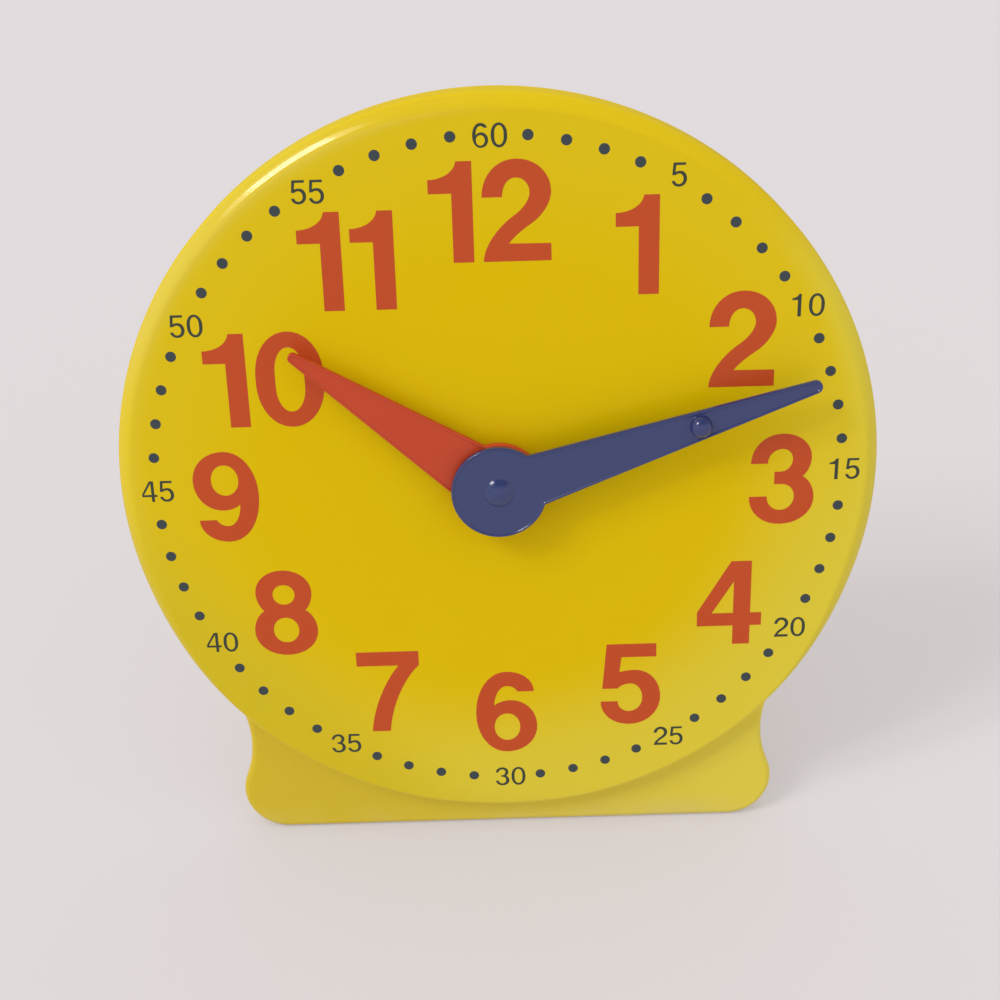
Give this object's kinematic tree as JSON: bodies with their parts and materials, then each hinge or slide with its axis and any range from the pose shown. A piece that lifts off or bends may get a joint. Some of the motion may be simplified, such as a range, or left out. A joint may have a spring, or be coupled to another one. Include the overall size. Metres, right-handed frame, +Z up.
{
  "type": "teaching clock",
  "caption": "Round demonstration clock with printed hour and minute rings, geared hour and minute hands turned by a finger peg, on a wide foot with a fold-out leg behind.",
  "frame": {"origin": "middle of the flat sole of the foot, on the table", "axes": "+Z up, the dial faces -Y and leans back 12 degrees, +X to the reader's right"},
  "size_m": [0.34, 0.103, 0.3479],
  "materials": {
    "yellow_plastic": "glossy injection moulding",
    "red_plastic": "glossy injection moulding",
    "blue_plastic": "glossy injection moulding",
    "white_acetal": "natural acetal",
    "grey_plastic": "plain moulding",
    "steel": "bright zinc plated",
    "red_ink": "pad-printed hour numerals",
    "dark_ink": "pad-printed minute ring"
  },
  "bodies": {
    "case": {"front_shell": "yellow_plastic", "rear_cover": "yellow_plastic", "cover_screws": "steel", "dial_bush": "white_acetal", "hour_washer": "white_acetal", "idler_post": "steel", "idler_washer": "white_acetal", "spring_washer": "steel", "gear_bridge": "grey_plastic", "bridge_screws": "steel", "hinge_pin": "steel"},
    "minute_train": {"minute_hand": "blue_plastic", "minute_arbor": "blue_plastic", "minute_pinion": "white_acetal", "arbor_clip": "steel", "hand_spacer": "white_acetal"},
    "hour_train": {"hour_hand": "red_plastic", "hour_wheel": "white_acetal"},
    "idler_train": {"idler_gear": "white_acetal"},
    "stand_leg": {"leg": "yellow_plastic"}
  },
  "joints": [
    {"name": "minute_spin", "type": "hinge", "parent": "case", "child": "minute_train", "pos_m": [0, 0.023, 0.18276], "axis": [0, 0.9781, -0.2079], "continuous": true},
    {"name": "hour_spin", "type": "hinge", "parent": "case", "child": "hour_train", "pos_m": [0, 0.023, 0.18276], "axis": [0, 0.9781, -0.2079], "continuous": true},
    {"name": "idler_spin", "type": "hinge", "parent": "case", "child": "idler_train", "pos_m": [0, 0.0308, 0.21944], "axis": [0, 0.9781, -0.2079], "continuous": true},
    {"name": "leg_fold", "type": "hinge", "parent": "case", "child": "stand_leg", "pos_m": [0, 0.05265, 0.20201], "axis": [1, 0, 0], "range_deg": [-22, 0]}
  ],
  "couplings": [
    {"joint": "hour_spin", "follows": "minute_spin", "ratio": 0.083333},
    {"joint": "idler_spin", "follows": "minute_spin", "ratio": -0.33333}
  ]
}
